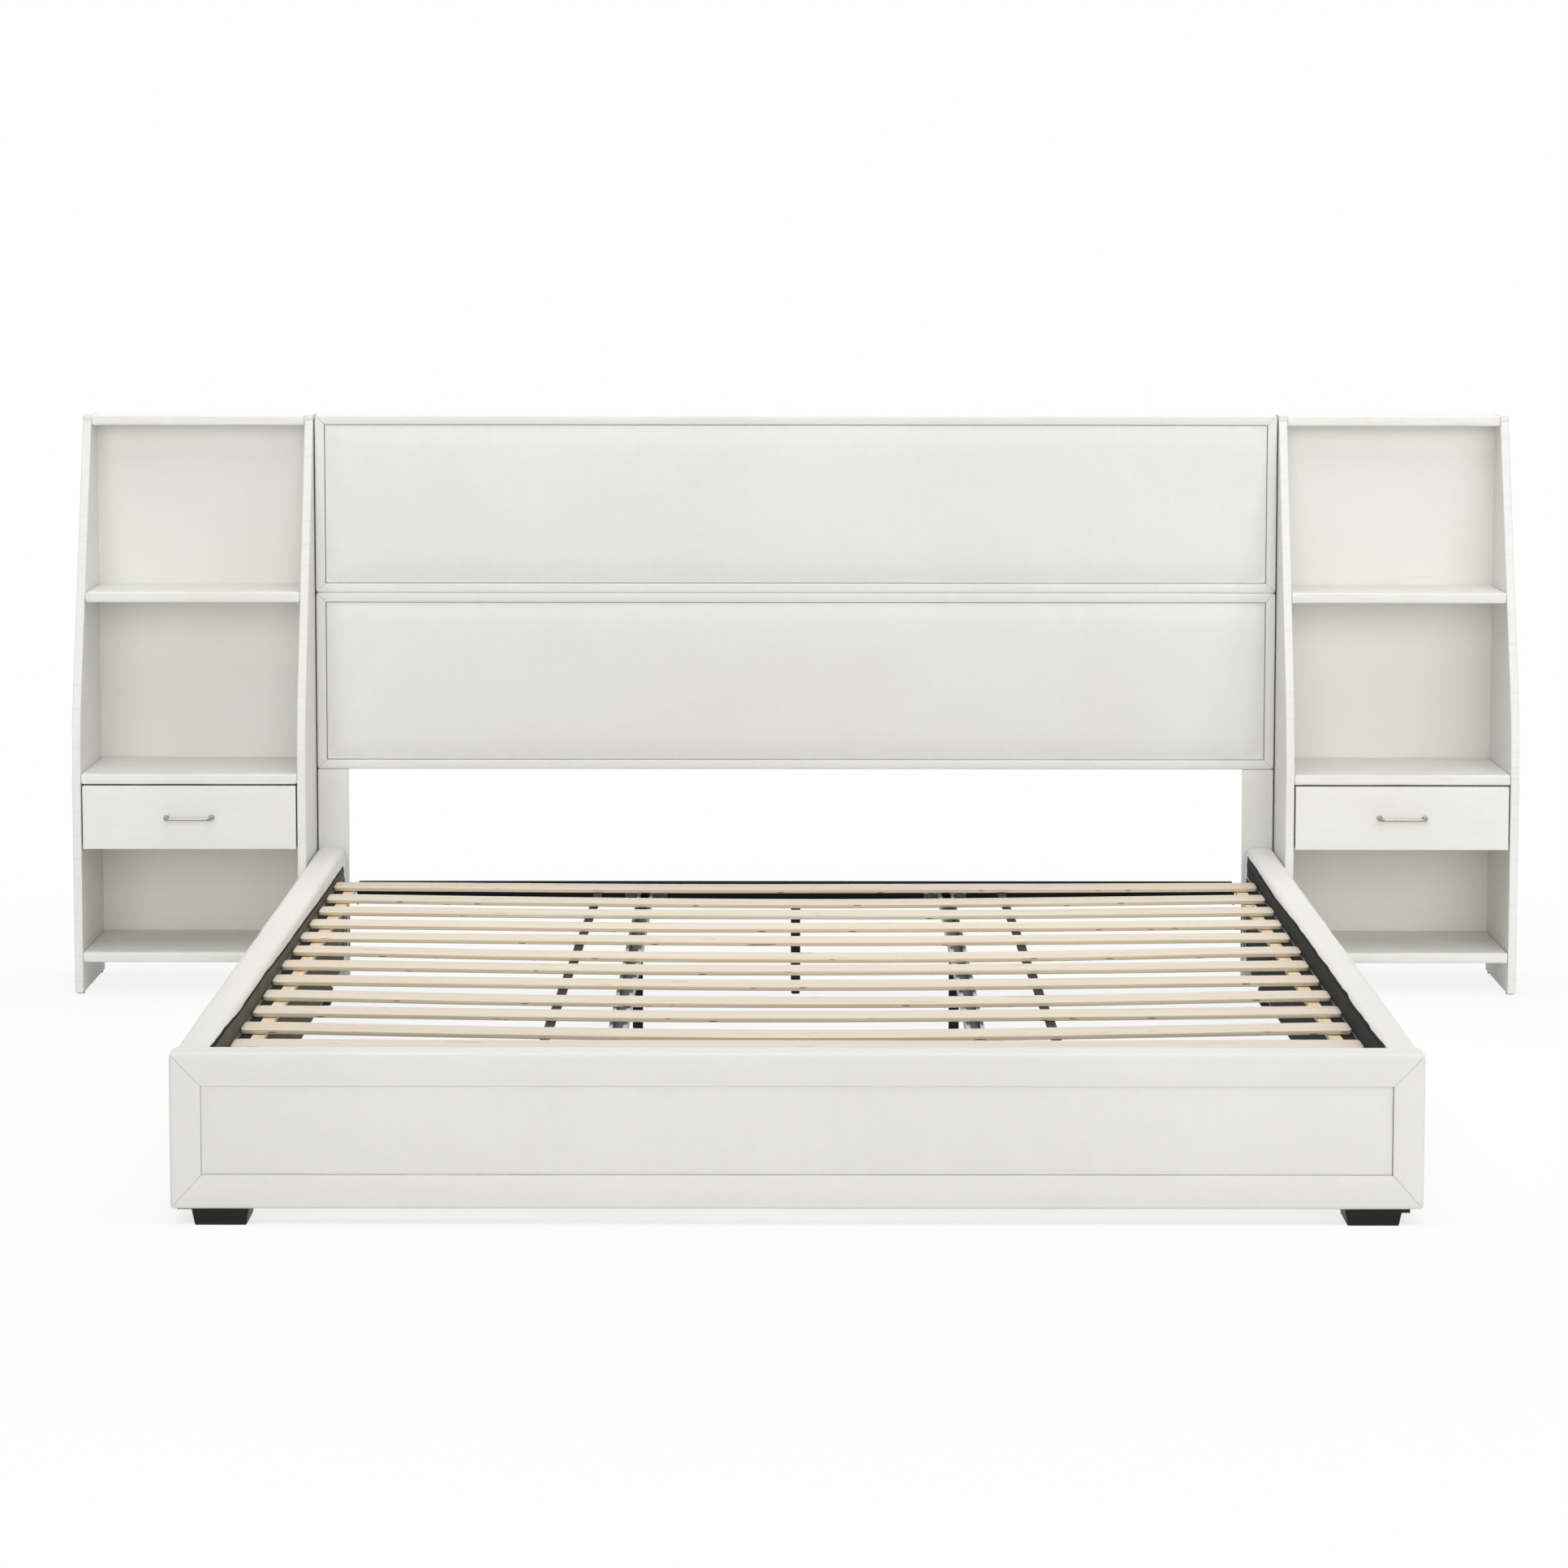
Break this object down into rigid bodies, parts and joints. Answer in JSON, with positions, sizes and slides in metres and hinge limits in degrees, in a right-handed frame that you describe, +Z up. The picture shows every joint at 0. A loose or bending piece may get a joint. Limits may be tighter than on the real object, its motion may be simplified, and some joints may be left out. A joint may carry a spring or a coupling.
{
  "type": "platform bed",
  "caption": "Low upholstered platform bed: tall padded headboard between tapered open shelf stands with drawers, padded rails and a slatted deck on steel supports.",
  "frame": {"origin": "on the floor, under the middle of the bed's overall width and depth", "axes": "+X to the right seen from the foot of the bed, +Y toward the headboard and the wall, +Z up"},
  "size_m": [3.051, 2.184, 1.218],
  "materials": {
    "ivory_upholstery": "satin, fine grain",
    "ivory_paint": "satin paint over faint grain",
    "hidden_board": "raw board",
    "pale_ply": "smooth raw laminated veneer",
    "dark_lining": "matte non-woven cloth",
    "black_steel": "satin black powder coat",
    "zinc_steel": "bright zinc plate",
    "black_plastic": "satin black",
    "satin_nickel": "satin nickel plate"
  },
  "bodies": {
    "bed": {"back_plates": "black_steel", "drawer_runners_left": "zinc_steel", "drawer_runners_right": "zinc_steel", "frame_bolts": "zinc_steel", "front_feet": "black_plastic", "front_rail_border": "ivory_upholstery", "front_rail_core": "hidden_board", "front_rail_lining": "dark_lining", "front_rail_pad": "ivory_upholstery", "head_cross_bar": "black_steel", "headboard_backing": "dark_lining", "headboard_border_lower": "ivory_upholstery", "headboard_border_upper": "ivory_upholstery", "headboard_core_lower": "hidden_board", "headboard_core_upper": "hidden_board", "headboard_leg_left": "ivory_upholstery", "headboard_leg_right": "ivory_upholstery", "headboard_pad_lower": "ivory_upholstery", "headboard_pad_upper": "ivory_upholstery", "leg_glides": "black_plastic", "rail_brackets": "black_steel", "side_feet": "black_plastic", "side_rail_core_left": "hidden_board", "side_rail_core_right": "hidden_board", "side_rail_cover_left": "ivory_upholstery", "side_rail_cover_right": "ivory_upholstery", "side_rail_lining_left": "dark_lining", "side_rail_lining_right": "dark_lining", "slat_ledger_left": "pale_ply", "slat_ledger_right": "pale_ply", "slat_tapes": "dark_lining", "slats": "pale_ply", "stand_back_left": "ivory_paint", "stand_back_right": "ivory_paint", "stand_bottom_shelf_left": "ivory_paint", "stand_bottom_shelf_right": "ivory_paint", "stand_drawer_shelf_left": "ivory_paint", "stand_drawer_shelf_right": "ivory_paint", "stand_glides": "black_plastic", "stand_inner_side_left": "ivory_paint", "stand_inner_side_right": "ivory_paint", "stand_middle_shelf_left": "ivory_paint", "stand_middle_shelf_right": "ivory_paint", "stand_outer_side_left": "ivory_paint", "stand_outer_side_right": "ivory_paint", "stand_top_board_left": "ivory_paint", "stand_top_board_right": "ivory_paint", "support_channel_left": "zinc_steel", "support_channel_right": "zinc_steel", "support_legs": "zinc_steel"},
    "drawer_left": {"drawer_front_left": "ivory_paint", "drawer_box_left": "pale_ply", "drawer_bottom_left": "pale_ply", "drawer_handle_left": "satin_nickel", "drawer_slides_left": "zinc_steel"},
    "drawer_right": {"drawer_front_right": "ivory_paint", "drawer_box_right": "pale_ply", "drawer_bottom_right": "pale_ply", "drawer_handle_right": "satin_nickel", "drawer_slides_right": "zinc_steel"}
  },
  "joints": [
    {"name": "drawer_left_slide", "type": "slide", "parent": "bed", "child": "drawer_left", "axis": [0, -1, 0], "range_m": [0, 0.15]},
    {"name": "drawer_right_slide", "type": "slide", "parent": "bed", "child": "drawer_right", "axis": [0, -1, 0], "range_m": [0, 0.15]}
  ]
}
